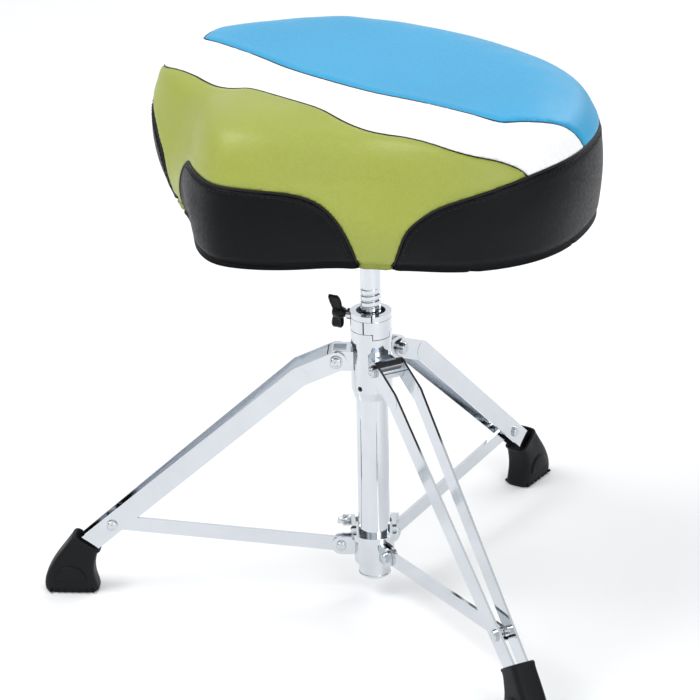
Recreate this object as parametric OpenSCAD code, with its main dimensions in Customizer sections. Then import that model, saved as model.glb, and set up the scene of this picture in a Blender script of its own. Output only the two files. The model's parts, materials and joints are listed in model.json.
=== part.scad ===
// Drum throne: saddle seat on a threaded spindle, carried by a folding
// double-braced tripod.  Millimetres, +Z up, origin on the post axis at the
// floor, the nose of the seat faces -Y.

/* [Post] */
// Outer diameter of the centre tube
tube_d = 30; // [28:0.5:32]
// Inner diameter of the centre tube
tube_bore = 26; // [24.5:0.5:27]
// Height of the tube's lower end above the floor
tube_low = 22; // [20:1:26]
// Diameter of the threaded seat spindle
rod_d = 19; // [18:0.5:20]
// Pitch of the spindle's thread
thread_pitch = 6; // [4:0.5:8]

/* [Tripod] */
// Turn of the tripod about the post, from a leg pointing straight back
tripod_turn = 10; // [-30:1:30]
// Distance of the upper leg pivots from the post axis
hub_pivot_r = 32; // [31:0.5:34]
// Height of the upper leg pivots
hub_pivot_z = 242; // [230:1:255]
// Distance of the foot rivets from the post axis
foot_rivet_r = 247.5; // [235:0.5:260]
// Height of the foot rivets
foot_rivet_z = 70; // [66:1:74]
// Width of a leg strip
strip_w = 19; // [16:0.5:20]
// Thickness of a leg strip
strip_t = 2.2; // [1.8:0.1:2.5]
// Width of a strut
strut_w = 14; // [12:0.5:15]
// Thickness of a strut
strut_t = 3; // [2.5:0.1:3.2]

/* [Seat] */
// Height of the seat's lower edge
seat_low = 397; // [390:1:410]
// Height of the seat's upper edge seam
seat_edge = 480; // [470:1:490]
// Height of the crown of the seat
seat_top = 516; // [508:1:524]
// Thickness of the seat board
board_t = 10; // [8:1:12]

/* [Hidden] */
$fn = 64;

BACK = 0;
LEFT = 1;
RIGHT = 2;
eps = 0.01;
run_fit = 0.07;
side_gap = 0.2;

// post
tube_r = tube_d / 2;
tube_top = 262;
rod_r = rod_d / 2;
rod_low = 110;
rod_top = seat_low - 7;
thread_top = 313;
thread_depth = 1.1;
plug_low = 18.4;

// hub
hub_r = 19.2;
hub_low = 203.3;
hub_taper_z = 212;
hub_taper_r = 16.6;
hub_top = 271.5;
hub_chamfer = 0.7;
hub_rivet_r = 3.5;
lug_half = 12;
lug_r = 9.5;
nut_r = 13.3;
nut_top = 285.5;
collar_top = 288.5;
collar_groove_z = 282.9;
collar_bore = 13.6;
key_depth = 5.5;
key_gap = 0.6;
key_gap_turn = 2;
key_from = 318;
key_to = 372;
memory_screw_turn = 196;
memory_screw_z = 281;

// legs
bend_r = hub_pivot_r + 34.7;
bend_z = hub_pivot_z - 15.5;
strip_in = lug_half + side_gap;
foot_gap = 6.5;
converge = atan((strip_in - foot_gap) / (foot_rivet_r - bend_r));
leg_drop = atan((bend_z - foot_rivet_z) / (foot_rivet_r - bend_r));
strip_past_rivet = 52;
foot_rivet_hole = 3;
boot_half = 13.5;
boot_out = 316;

// slider and struts
slide_low = 33.6;
slide_neck = 58.3;
slide_top = 64.2;
slide_r = 19;
slide_flange_r = 22.5;
strut_pivot_r = 31;
strut_pivot_z = 49;
strut_rivet_hole = 3;
ear_t = 3;
ear_in = strut_t / 2 + side_gap;
ear_out = ear_in + ear_t;
strut_rise = atan((foot_rivet_z - strut_pivot_z) / (foot_rivet_r - strut_pivot_r));
strut_len = norm([foot_rivet_r - strut_pivot_r, foot_rivet_z - strut_pivot_z]);
clamp_r = 22.5;
clamp_z = 64;
clamp_turn = 136;
clamp_bolt_end = 25.2;
clamp_hole = 3;
clamp_in = 17;
clamp_out = 21;

// seat
bracket_t = 3;
board_low = seat_low + 2;
bolt_x = 40;
bolt_y = 28;
bolt_r = 3;

function leg_turn(i) = 90 + tripod_turn + 120 * i;

// cylinder along Y, centred on y
module pin_y(r, from, to) {
    translate([0, to, 0]) rotate([90, 0, 0]) cylinder(r = r, h = to - from);
}

// outline of a flat bar with round ends, from one point to another
function bar_outline(a, b, r) =
    let (rise = atan2(b[1] - a[1], b[0] - a[0]))
    [
        for (t = [90 : 15 : 270]) a + r * [cos(rise + t), sin(rise + t)],
        for (t = [-90 : 15 : 90]) b + r * [cos(rise + t), sin(rise + t)]
    ];

// flat bar with round ends in the XZ plane
module bar(a, b, w, from, to) {
    translate([0, to, 0]) rotate([90, 0, 0]) linear_extrude(to - from) polygon(bar_outline(a, b, w / 2));
}

// places children in the plane of the slider's clamp
module in_clamp() {
    rotate([0, 0, clamp_turn]) children();
}

// places children in the plane of leg i
module in_leg(i) {
    rotate([0, 0, leg_turn(i)]) children();
}

// mirrors a leg's outer side for the second strip
module on_side(side) {
    if (side > 0) children();
    else mirror([0, 1, 0]) children();
}

// the lower, converging stretch of a strip is turned inward about its bend
module converging() {
    translate([bend_r, strip_in, 0]) rotate([0, 0, -converge]) translate([-bend_r, -strip_in, 0]) children();
}

// ---------- post ----------

module center_tube() {
    color("silver") difference() {
        translate([0, 0, tube_low]) cylinder(r = tube_r, h = tube_top - tube_low);
        translate([0, 0, tube_low - 1]) cylinder(d = tube_bore, h = tube_top - tube_low + 2);
    }
}

module tube_end_plug() {
    flange_top = tube_low;
    plug_h = 14;
    color("lightgray") {
        translate([0, 0, plug_low + 2]) cylinder(r = tube_r + 0.4, h = flange_top - plug_low - 2);
        translate([0, 0, plug_low]) cylinder(r1 = tube_r - 2, r2 = tube_r + 0.4, h = 2);
        translate([0, 0, flange_top - eps]) cylinder(d = tube_bore, h = plug_h);
    }
}

// sector of the key that the memory collar drops into the hub
module key_sector(grow) {
    reach = 30;
    first = key_from - grow;
    turn = (key_to - key_from + 2 * grow) / 6;
    linear_extrude(key_depth + 1 + grow)
        polygon([[0, 0], for (k = [0 : 6]) reach * [cos(first + k * turn), sin(first + k * turn)]]);
}

module hub_lug() {
    pocket_x = 23;
    pocket_len = 12;
    pocket_half = 7.5;
    difference() {
        union() {
            translate([hub_pivot_r, 0, hub_pivot_z]) pin_y(lug_r, -lug_half, lug_half);
            translate([tube_r + 1, -lug_half, hub_pivot_z - lug_r])
                cube([hub_pivot_r - tube_r - 1, 2 * lug_half, 2 * lug_r]);
        }
        translate([hub_pivot_r, 0, hub_pivot_z]) pin_y(hub_rivet_r, -lug_half - 1, lug_half + 1);
        translate([pocket_x, -pocket_half, hub_pivot_z + hub_rivet_r + 0.5])
            cube([pocket_len, 2 * pocket_half, lug_r]);
    }
}

module hub_casting() {
    color("gainsboro") difference() {
        union() {
            rotate_extrude() polygon([
                [0, hub_low], [hub_taper_r, hub_low], [hub_r, hub_taper_z],
                [hub_r, hub_top - hub_chamfer], [hub_r - hub_chamfer, hub_top], [0, hub_top]
            ]);
            for (i = [BACK : RIGHT]) in_leg(i) hub_lug();
        }
        translate([0, 0, hub_low - 1]) cylinder(r = tube_r, h = tube_top - hub_low + 1);
        translate([0, 0, tube_top - 1]) cylinder(r = nut_r, h = hub_top - tube_top + 2);
        translate([0, 0, hub_top - key_depth - key_gap]) key_sector(key_gap_turn);
        rotate([0, 0, set_screw_turn]) translate([0, 0, set_screw_z])
            rotate([0, 90, 0]) cylinder(r = set_screw_r, h = hub_r + 1);
    }
}

set_screw_turn = 278;
set_screw_z = 216;
set_screw_r = 2.5;

module hub_set_screw() {
    socket_r = 1.4;
    color("dimgray") rotate([0, 0, set_screw_turn]) translate([tube_r, 0, set_screw_z]) difference() {
        rotate([0, 90, 0]) cylinder(r = set_screw_r, h = hub_r - tube_r - 0.6);
        translate([1.5, 0, 0]) rotate([0, 90, 0]) cylinder(r = socket_r, h = 5, $fn = 6);
    }
}

module hub_nut() {
    color("#333333") difference() {
        translate([0, 0, tube_top]) cylinder(r = nut_r, h = nut_top - tube_top);
        translate([0, 0, tube_top - 1]) cylinder(r = rod_r + run_fit, h = nut_top - tube_top + 2);
    }
}

module memory_lug() {
    lug_from = hub_r - 3;
    lug_to = hub_r + 4;
    translate([lug_from, 0, memory_screw_z]) rotate([0, 90, 0]) cylinder(r = 5.5, h = lug_to - lug_from);
}

module memory_collar() {
    slot_w = 1.2;
    slot_reach = 12;
    upper_slot = 315;
    lower_slot = 291;
    color("gainsboro") difference() {
        union() {
            translate([0, 0, hub_top]) cylinder(r = hub_r, h = collar_top - hub_top);
            rotate([0, 0, memory_screw_turn]) memory_lug();
            intersection() {
                translate([0, 0, hub_top - key_depth]) key_sector(0);
                translate([0, 0, hub_top - key_depth]) cylinder(r = hub_r, h = key_depth + 1);
            }
        }
        translate([0, 0, hub_top - key_depth - 1]) cylinder(r = collar_bore, h = 40);
        translate([0, 0, collar_groove_z]) difference() {
            cylinder(r = hub_r + 1, h = 0.5);
            translate([0, 0, -1]) cylinder(r = hub_r - 0.6, h = 3);
        }
        rotate([0, 0, upper_slot]) translate([collar_bore - 1, -slot_w / 2, collar_groove_z])
            cube([slot_reach, slot_w, 10]);
        rotate([0, 0, lower_slot]) translate([collar_bore - 1, -slot_w / 2, hub_top - 1])
            cube([slot_reach, slot_w, collar_groove_z - hub_top + 1.5]);
        rotate([0, 0, memory_screw_turn]) translate([0, 0, memory_screw_z])
            rotate([0, 90, 0]) cylinder(r = 3 + run_fit, h = hub_r + 6);
    }
}

// one wing of a thumb screw, in the plane of the screw's own X and Z
module wing(len, root, tip, thick) {
    rotate([90, 0, 0]) translate([0, 0, -thick / 2]) linear_extrude(thick)
        polygon([[-root, 0], [root, 0], [tip + 3, len], [3 - tip, len]]);
}

// thumb screw along +X with two wings up and down
module wing_screw(shank, from, hub_len, wing_len) {
    translate([from, 0, 0]) rotate([0, 90, 0]) cylinder(r = 3, h = shank);
    translate([from + shank - eps, 0, 0]) rotate([0, 90, 0]) cylinder(r = 5.5, h = hub_len);
    translate([from + shank + hub_len / 2, 0, 0]) {
        wing(wing_len, hub_len / 2, 4.5, 6);
        mirror([0, 0, 1]) wing(wing_len, hub_len / 2, 4.5, 6);
    }
}

module memory_wing_screw() {
    shank_from = collar_bore + 0.6;
    color("#222222") rotate([0, 0, memory_screw_turn]) translate([0, 0, memory_screw_z])
        wing_screw(15, shank_from, 9, 17);
}

module hub_rivet(i) {
    head_from = strip_in + strip_t + 0.15;
    head_h = 2.2;
    head_r = 6;
    color("lightgray") in_leg(i) translate([hub_pivot_r, 0, hub_pivot_z]) {
        pin_y(hub_rivet_r, -head_from, head_from);
        pin_y(head_r, head_from, head_from + head_h);
        pin_y(head_r, -head_from - head_h, -head_from);
    }
}

// ---------- legs ----------

module strip_blank() {
    pivot = [hub_pivot_r, hub_pivot_z];
    knee = [bend_r, bend_z];
    foot_end = [
        foot_rivet_r + strip_past_rivet * cos(leg_drop),
        foot_rivet_z - strip_past_rivet * sin(leg_drop)
    ];
    bar(pivot, knee, strip_w, strip_in, strip_in + strip_t);
    converging() bar(knee, foot_end, strip_w, strip_in, strip_in + strip_t);
}

module leg_strip(i, side) {
    color("silver") in_leg(i) on_side(side) difference() {
        strip_blank();
        translate([hub_pivot_r, 0, hub_pivot_z]) pin_y(hub_rivet_r + run_fit, 0, 30);
        converging() translate([foot_rivet_r, 0, foot_rivet_z]) pin_y(foot_rivet_hole, 0, 30);
    }
}

// the two headed ends of the foot rivet, one in each strip
module leg_foot_rivet(i) {
    head_r = 5.5;
    head_h = 2;
    color("lightgray") in_leg(i) for (side = [-1, 1]) on_side(side) converging()
        translate([foot_rivet_r, 0, foot_rivet_z]) {
            pin_y(foot_rivet_hole, strip_in, strip_in + strip_t);
            pin_y(head_r, strip_in + strip_t, strip_in + strip_t + head_h);
        }
}

// round spacers that hold the strut midway between the strips
module leg_spacer(i) {
    spacer_r = 6;
    reach = foot_gap - strut_t / 2 - 0.5;
    color("lightgray") in_leg(i) for (side = [-1, 1]) on_side(side) converging()
        translate([foot_rivet_r, 0, foot_rivet_z]) pin_y(spacer_r, strip_in - reach, strip_in);
}

module boot_profile() {
    polygon([
        [262, 0], [boot_out - 3, 0], [boot_out, 3], [boot_out, 12], [309, 29],
        [287, 56], [281, 58.5], [262, 42], [261, 38], [267, 22], [263, 8]
    ]);
}

module leg_boot(i) {
    color("#222426") in_leg(i) difference() {
        translate([0, boot_half, 0]) rotate([90, 0, 0]) linear_extrude(2 * boot_half) boot_profile();
        for (side = [-1, 1]) on_side(side) strip_blank();
    }
}

// ---------- slider and struts ----------

module clevis_ears() {
    ear_r = 9;
    for (side = [-1, 1]) on_side(side) {
        translate([strut_pivot_r, 0, strut_pivot_z]) pin_y(ear_r, ear_in, ear_out);
        translate([tube_r + 1, ear_in, strut_pivot_z - ear_r])
            cube([strut_pivot_r - tube_r - 1, ear_t, 2 * ear_r]);
    }
}

module clamp_lug() {
    lug_w = 10.8;
    bar([0, clamp_z], [clamp_r, clamp_z], lug_w, clamp_in, clamp_out);
}

module slider_collar() {
    split_w = 2;
    color("gainsboro") difference() {
        union() {
            translate([0, 0, slide_low]) cylinder(r = slide_r, h = slide_top - slide_low - 1);
            translate([0, 0, slide_neck]) cylinder(r = slide_flange_r, h = slide_top - slide_neck);
            for (i = [BACK : RIGHT]) in_leg(i) clevis_ears();
            in_clamp() for (side = [-1, 1]) on_side(side) clamp_lug();
        }
        translate([0, 0, slide_low - 1]) cylinder(r = tube_r + run_fit, h = 60);
        for (i = [BACK : RIGHT]) in_leg(i) translate([strut_pivot_r, 0, strut_pivot_z])
            pin_y(strut_rivet_hole, -20, 20);
        in_clamp() {
            translate([clamp_r, 0, clamp_z]) pin_y(clamp_hole + run_fit, -30, 30);
            translate([tube_r - 2, -split_w / 2, slide_neck - 1]) cube([20, split_w, 12]);
            translate([clamp_r - 5, -clamp_in, slide_neck - 0.5]) cube([20, 2 * clamp_in, 12]);
        }
    }
}

module strut_rivet(i) {
    head_r = 5;
    head_h = 1.8;
    color("lightgray") in_leg(i) translate([strut_pivot_r, 0, strut_pivot_z]) {
        pin_y(strut_rivet_hole, -ear_out, ear_out);
        pin_y(head_r, ear_out, ear_out + head_h);
        pin_y(head_r, -ear_out - head_h, -ear_out);
    }
}

module slider_wing_screw() {
    shank = clamp_bolt_end + clamp_out + 0.1;
    color("lightgray") in_clamp() translate([clamp_r, 0, clamp_z]) rotate([0, 0, 90])
        wing_screw(shank, -clamp_bolt_end, 8, 15);
}

module slider_clamp_nut() {
    nut_h = 3.8;
    nut_r = 5;
    color("gray") in_clamp() translate([clamp_r, 0, clamp_z]) difference() {
        pin_y(nut_r, -clamp_out - nut_h, -clamp_out, $fn = 6);
        pin_y(clamp_hole + run_fit, -40, 0);
    }
}

module strut(i) {
    a = [strut_pivot_r, strut_pivot_z];
    b = [foot_rivet_r, foot_rivet_z];
    color("silver") in_leg(i) difference() {
        bar(a, b, strut_w, -strut_t / 2, strut_t / 2);
        translate([a[0], 0, a[1]]) pin_y(strut_rivet_hole + run_fit, -10, 10);
        translate([b[0], 0, b[1]]) pin_y(foot_rivet_hole + 0.5, -10, 10);
    }
}

// ---------- spindle ----------

module seat_spindle() {
    crest = thread_pitch / 2;
    turns = floor((thread_top - rod_low - 14) / thread_pitch);
    color("silver") rotate_extrude() polygon([
        [0, rod_low],
        [rod_r, rod_low],
        for (t = [0 : turns - 1]) for (p = [
            [rod_r, 0], [rod_r - thread_depth, 0.8],
            [rod_r - thread_depth, 1.4], [rod_r, 2.2]
        ]) [p[0], rod_low + 12 + crest + t * thread_pitch + p[1]],
        [rod_r, rod_top],
        [0, rod_top]
    ]);
}

module spindle_stop_ring() {
    color("dimgray") difference() {
        translate([0, 0, rod_low + 2]) cylinder(r = tube_bore / 2 - 0.5, h = 6);
        translate([0, 0, rod_low + 1]) cylinder(r = rod_r, h = 8);
    }
}

// ---------- seat ----------

// rounded discs that together span the saddle's outline
module seat_discs(inset) {
    translate([0, -104]) circle(98 - inset);
    for (side = [-1, 1]) {
        translate([side * 118, -2]) circle(112 - inset);
        translate([side * 104, 36]) circle(111 - inset);
        translate([side * 50, 60]) circle(106 - inset);
    }
    translate([0, 63]) circle(108 - inset);
}

module seat_slice(z, inset) {
    translate([0, 0, z]) linear_extrude(0.5) seat_discs(inset);
}

module board_blank(low, high, inset) {
    translate([0, 0, low]) linear_extrude(high - low) hull() seat_discs(inset, $fn = 48);
}

module seat_cushion() {
    color("yellowgreen") difference() {
        hull($fn = 32) {
            seat_slice(seat_low, 10);
            seat_slice(seat_low + 25, 2);
            seat_slice(seat_edge - 25, 0);
            seat_slice(seat_edge, 3);
            seat_slice(seat_top - 10, 17);
            seat_slice(seat_top - 0.5, 60);
        }
        board_blank(seat_low - 1, board_low + board_t, 20);
    }
}

module seat_board() {
    color("burlywood") difference() {
        board_blank(board_low, board_low + board_t, 20);
        bolt_circle() cylinder(r = bolt_r, h = 100, center = true);
    }
}

module bolt_circle() {
    for (x = [-1, 1]) for (y = [-1, 1]) translate([x * bolt_x, y * bolt_y, board_low]) children();
}

plate_x = 56;
plate_y = 42;

module dust_cover() {
    color("#303030") difference() {
        board_blank(board_low - 1.2, board_low, 26);
        translate([-plate_x - 2, -plate_y - 2, board_low - 5]) cube([2 * plate_x + 4, 2 * plate_y + 4, 10]);
    }
}

module seat_bracket() {
    socket_r = 16;
    socket_low = 362;
    web_reach = 42;
    web_t = 4;
    color("#4a4d50") difference() {
        union() {
            translate([-plate_x, -plate_y, board_low - bracket_t]) cube([2 * plate_x, 2 * plate_y, bracket_t]);
            translate([0, 0, socket_low]) cylinder(r = socket_r, h = board_low - socket_low);
            for (a = [0, 90, 180, 270]) rotate([0, 0, a])
                translate([0, web_t / 2, 0]) rotate([90, 0, 0]) linear_extrude(web_t)
                    polygon([[0, 372], [socket_r, 372], [web_reach - 4, board_low - 1], [0, board_low - 1]]);
        }
        translate([0, 0, socket_low - 1]) cylinder(r = rod_r + run_fit, h = rod_top - socket_low + 2);
        bolt_circle() cylinder(r = bolt_r, h = 20, center = true);
        translate([0, 0, clamp_screw_z]) rotate([0, 0, clamp_screw_turn]) rotate([0, 90, 0])
            cylinder(r = clamp_screw_r, h = 30);
    }
}

clamp_screw_turn = 135;
clamp_screw_z = 368;
clamp_screw_r = 3;

module bracket_clamp_screw() {
    tip = rod_r + 0.4;
    head_from = 17;
    head = 7;
    color("dimgray") translate([0, 0, clamp_screw_z]) rotate([0, 0, clamp_screw_turn]) {
        translate([tip, 0, 0]) rotate([0, 90, 0]) cylinder(r = clamp_screw_r, h = head_from - tip + eps);
        translate([head_from, -head / 2, -head / 2]) cube([9, head, head]);
    }
}

module bracket_bolts() {
    head_r = 6;
    head_h = 3;
    color("gray") bolt_circle() {
        translate([0, 0, -bracket_t - 1]) cylinder(r = bolt_r, h = bracket_t + board_t);
        translate([0, 0, -bracket_t - head_h]) cylinder(r = head_r, h = head_h);
    }
}

center_tube();
tube_end_plug();
hub_casting();
hub_nut();
hub_set_screw();
memory_collar();
memory_wing_screw();
hub_rivet(BACK);  // hub_rivet_back
hub_rivet(LEFT);  // hub_rivet_left
hub_rivet(RIGHT);  // hub_rivet_right
leg_strip(BACK, 1);  // leg_back_strip_a
leg_strip(BACK, -1);  // leg_back_strip_b
leg_foot_rivet(BACK);  // leg_back_foot_rivet
leg_spacer(BACK);  // leg_back_spacer
leg_boot(BACK);  // leg_back_boot
leg_strip(LEFT, 1);  // leg_left_strip_a
leg_strip(LEFT, -1);  // leg_left_strip_b
leg_foot_rivet(LEFT);  // leg_left_foot_rivet
leg_spacer(LEFT);  // leg_left_spacer
leg_boot(LEFT);  // leg_left_boot
leg_strip(RIGHT, 1);  // leg_right_strip_a
leg_strip(RIGHT, -1);  // leg_right_strip_b
leg_foot_rivet(RIGHT);  // leg_right_foot_rivet
leg_spacer(RIGHT);  // leg_right_spacer
leg_boot(RIGHT);  // leg_right_boot
slider_collar();
strut_rivet(BACK);  // strut_rivet_back
strut_rivet(LEFT);  // strut_rivet_left
strut_rivet(RIGHT);  // strut_rivet_right
slider_wing_screw();
slider_clamp_nut();
strut(BACK);  // strut_back
strut(LEFT);  // strut_left
strut(RIGHT);  // strut_right
seat_spindle();
spindle_stop_ring();
seat_bracket();
bracket_clamp_screw();
bracket_bolts();
seat_board();
dust_cover();
seat_cushion();
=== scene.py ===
"""Drum throne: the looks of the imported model. Metres, in the model's own frame."""
import json
import math

import bmesh
import bpy
from mathutils import Matrix, Vector
from mathutils.bvhtree import BVHTree
from mathutils.kdtree import KDTree


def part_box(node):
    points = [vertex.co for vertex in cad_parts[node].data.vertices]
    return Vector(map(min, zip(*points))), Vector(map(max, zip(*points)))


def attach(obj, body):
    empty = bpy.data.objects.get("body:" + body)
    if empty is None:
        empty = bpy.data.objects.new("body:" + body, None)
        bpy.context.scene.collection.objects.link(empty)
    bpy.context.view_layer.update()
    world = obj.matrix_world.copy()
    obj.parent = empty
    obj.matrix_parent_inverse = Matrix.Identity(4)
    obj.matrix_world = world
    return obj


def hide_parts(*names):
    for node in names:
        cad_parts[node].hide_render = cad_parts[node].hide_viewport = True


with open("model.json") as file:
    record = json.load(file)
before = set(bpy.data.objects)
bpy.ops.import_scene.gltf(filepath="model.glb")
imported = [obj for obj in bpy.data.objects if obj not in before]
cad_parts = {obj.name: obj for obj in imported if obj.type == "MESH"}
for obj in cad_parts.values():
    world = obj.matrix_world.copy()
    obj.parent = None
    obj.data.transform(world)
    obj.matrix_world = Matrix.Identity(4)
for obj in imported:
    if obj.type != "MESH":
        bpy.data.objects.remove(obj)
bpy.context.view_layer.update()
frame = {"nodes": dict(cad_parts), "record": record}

MM = 0.001
JOINTS = {j["name"]: j for j in frame["record"]["behaviour"]["joints"]}
LEGS = ("back", "left", "right")

# ------------------------------------------------------------------ materials


class Shader:
    """A node material with short ways to add and join nodes."""

    def __init__(self, name, **sockets):
        self.material = bpy.data.materials.new(name)
        self.material.use_nodes = True
        self.tree = self.material.node_tree
        self.surface = self.tree.nodes["Principled BSDF"]
        for label, value in sockets.items():
            self.surface.inputs[label.replace("_", " ")].default_value = value

    def add(self, kind, inputs=None, **props):
        node = self.tree.nodes.new("ShaderNode" + kind)
        for key, value in props.items():
            setattr(node, key, value)
        for key, value in (inputs or {}).items():
            if isinstance(value, bpy.types.NodeSocket):
                self.tree.links.new(value, node.inputs[key])
            else:
                node.inputs[key].default_value = value
        return node

    def place(self, scale=1.0):
        coords = self.add("TexCoord").outputs["Object"]
        return self.add("Mapping", {"Vector": coords, "Scale": (scale,) * 3}).outputs["Vector"]

    def noise(self, where, scale, detail=4.0, rough=0.55):
        inputs = {"Vector": where, "Scale": scale, "Detail": detail, "Roughness": rough}
        return self.add("TexNoise", inputs).outputs["Fac"]

    def ramp(self, value, low, high, start=0.3, stop=0.7):
        node = self.add("ValToRGB", {"Fac": value})
        node.color_ramp.elements[0].position = start
        node.color_ramp.elements[1].position = stop
        node.color_ramp.elements[0].color = rgba(low)
        node.color_ramp.elements[1].color = rgba(high)
        return node.outputs["Color"]

    def number(self, value, low, high, start=0.0, stop=1.0):
        inputs = {"Value": value, "From Min": start, "From Max": stop, "To Min": low, "To Max": high}
        return self.add("MapRange", inputs).outputs["Result"]

    def math(self, operation, a, b):
        return self.add("Math", {0: a, 1: b}, operation=operation).outputs[0]

    def bump(self, height, strength, distance, normal=None):
        inputs = {"Height": height, "Strength": strength, "Distance": distance}
        if normal is not None:
            inputs["Normal"] = normal
        return self.add("Bump", inputs).outputs["Normal"]

    def link(self, socket, label):
        self.tree.links.new(socket, self.surface.inputs[label])


def rgba(colour):
    """A grey level or an RGB colour as a four-part colour."""
    if isinstance(colour, (int, float)):
        return (colour, colour, colour, 1.0)
    return (*colour, 1.0)


def shade(colour, factor):
    """A colour made lighter or darker."""
    return tuple(min(1.0, channel * factor) for channel in colour)


def vinyl(name, colour, roughness=0.42, grain=1.0, gloss=0.5):
    """Grained seat vinyl: pebbled cells, fine creases with painted shade in them and painted light on their
    ridges, and a slow change of tone.
    """
    s = Shader(name, Specular_IOR_Level=gloss, Coat_Weight=0.12 * gloss, Coat_Roughness=0.35, IOR=1.48)
    where = s.place()
    cell_inputs = {"Vector": where, "Scale": 620.0, "Randomness": 1.0}
    cells = s.add("TexVoronoi", cell_inputs, feature="DISTANCE_TO_EDGE")
    pebble = s.number(cells.outputs["Distance"], 0.0, 1.0, 0.0, 0.28)
    crease = s.noise(where, 260.0, 6.0, 0.6)
    tone = s.noise(where, 7.0, 3.0, 0.5)
    body = s.ramp(tone, shade(colour, 0.93), shade(colour, 1.06), 0.35, 0.65)
    # painted shade and light: darker in the low parts of the crease bump, lighter on its raised parts
    painted_crease_shading = s.ramp(crease, shade(colour, 0.86), shade(colour, 1.1), 0.3, 0.75)
    mixed = s.add("Mix", {"Factor": 0.35, "A": body, "B": painted_crease_shading}, data_type="RGBA")
    s.link(mixed.outputs["Result"], "Base Color")
    s.link(s.number(crease, roughness - 0.07, roughness + 0.1, 0.3, 0.7), "Roughness")
    fine = s.bump(crease, 0.25 * grain, 0.0004)
    s.link(s.bump(pebble, 0.32 * grain, 0.00035, fine), "Normal")
    return s.material


def chrome(name, tint, roughness, cast=0.0):
    """Chrome plate with faint polishing haze; cast plate ripples a little over its casting."""
    s = Shader(name, Metallic=1.0, IOR=2.3)
    where = s.place()
    haze = s.noise(where, 38.0, 5.0, 0.6)
    s.link(s.ramp(haze, shade(tint, 0.95), tint, 0.3, 0.7), "Base Color")
    s.link(s.number(haze, roughness * 0.7, roughness * 1.6, 0.3, 0.7), "Roughness")
    lines = s.noise(where, 900.0, 2.0, 0.5)
    fine = s.bump(lines, 0.02, 0.0001)
    wavy = s.noise(where, 55.0, 2.0, 0.4)
    s.link(s.bump(wavy, 0.04 + cast, 0.0006, fine), "Normal")
    return s.material


def moulded(name, colour, roughness, scale=700.0, metallic=0.0):
    """Moulded rubber, plastic or powder coat with a fine matte texture and scuffs."""
    s = Shader(name, Metallic=metallic, Specular_IOR_Level=0.2, IOR=1.5)
    where = s.place()
    speck = s.noise(where, scale, 3.0, 0.6)
    scuff = s.noise(where, 45.0, 6.0, 0.7)
    s.link(s.ramp(scuff, shade(colour, 0.85), shade(colour, 1.35), 0.35, 0.8), "Base Color")
    s.link(s.number(scuff, roughness - 0.08, roughness + 0.12, 0.3, 0.7), "Roughness")
    s.link(s.bump(speck, 0.22, 0.0003), "Normal")
    return s.material


def plywood(name):
    """Birch plywood with wavy grain along X."""
    s = Shader(name, Roughness=0.65)
    where = s.place()
    wave_inputs = {"Vector": where, "Scale": 28.0, "Distortion": 5.0, "Detail": 3.0}
    wave = s.add("TexWave", wave_inputs, bands_direction="Y")
    s.link(s.ramp(wave.outputs["Fac"], (0.5, 0.35, 0.2), (0.68, 0.52, 0.34), 0.2, 0.8), "Base Color")
    s.link(s.bump(wave.outputs["Fac"], 0.12, 0.0004), "Normal")
    return s.material


def cloth(name, colour):
    """Thin non-woven dust cloth with a crossed thread texture."""
    s = Shader(name, Roughness=0.9, Sheen_Weight=0.3)
    where = s.place()
    warp = s.add("TexWave", {"Vector": where, "Scale": 420.0, "Distortion": 1.0}, bands_direction="X")
    weft = s.add("TexWave", {"Vector": where, "Scale": 420.0, "Distortion": 1.0}, bands_direction="Y")
    weave = s.math("MULTIPLY", warp.outputs["Fac"], weft.outputs["Fac"])
    s.link(s.ramp(weave, shade(colour, 0.7), shade(colour, 1.6), 0.1, 0.8), "Base Color")
    s.link(s.bump(weave, 0.4, 0.0004), "Normal")
    return s.material


SILVER = (0.67, 0.70, 0.735)
MATERIALS = {
    "chrome_tube": chrome("chrome_tube", SILVER, 0.06),
    "chrome_casting": chrome("chrome_casting", shade(SILVER, 0.98), 0.09, 0.08),
    "chrome_strip": chrome("chrome_strip", shade(SILVER, 0.99), 0.08, 0.03),
    "chrome_fastener": chrome("chrome_fastener", shade(SILVER, 0.93), 0.12, 0.04),
    "dark_steel": moulded("dark_steel", (0.06, 0.06, 0.065), 0.4, 500.0, 0.7),
    "black_wing": moulded("black_wing", (0.006, 0.0065, 0.007), 0.25, 420.0),
    "boot_rubber": moulded("boot_rubber", (0.0035, 0.004, 0.005), 0.5),
    "bracket_paint": moulded("bracket_paint", (0.03, 0.03, 0.034), 0.45),
    "plywood": plywood("plywood"),
    "dust_cloth": cloth("dust_cloth", (0.02, 0.02, 0.022)),
    "vinyl_green": vinyl("vinyl_green", (0.315, 0.355, 0.055)),
    "vinyl_white": vinyl("vinyl_white", (0.90, 0.905, 0.91), 0.45),
    "vinyl_blue": vinyl("vinyl_blue", (0.012, 0.32, 0.585)),
    "vinyl_black": vinyl("vinyl_black", (0.003, 0.0035, 0.0045), 0.42, 1.2, 0.13),
    "piping": moulded("piping", (0.01, 0.01, 0.011), 0.5),
    "foam_core": cloth("foam_core", (0.35, 0.34, 0.3)),
}

# ------------------------------------------------------------------ helpers


def mesh_object(name, points, faces):
    """A new object in the scene from points and faces."""
    mesh = bpy.data.meshes.new(name)
    mesh.from_pydata([tuple(p) for p in points], [], faces)
    mesh.validate()
    mesh.update()
    piece = bpy.data.objects.new(name, mesh)
    bpy.context.scene.collection.objects.link(piece)
    for polygon in mesh.polygons:
        polygon.use_smooth = True
    return piece


def finish_piece(piece, body, slot_name):
    """Gives a piece its material and slot, and lets it ride on a body."""
    piece.data.materials.clear()
    piece.data.materials.append(MATERIALS[slot_name])
    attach(piece, body)
    return piece


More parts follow.
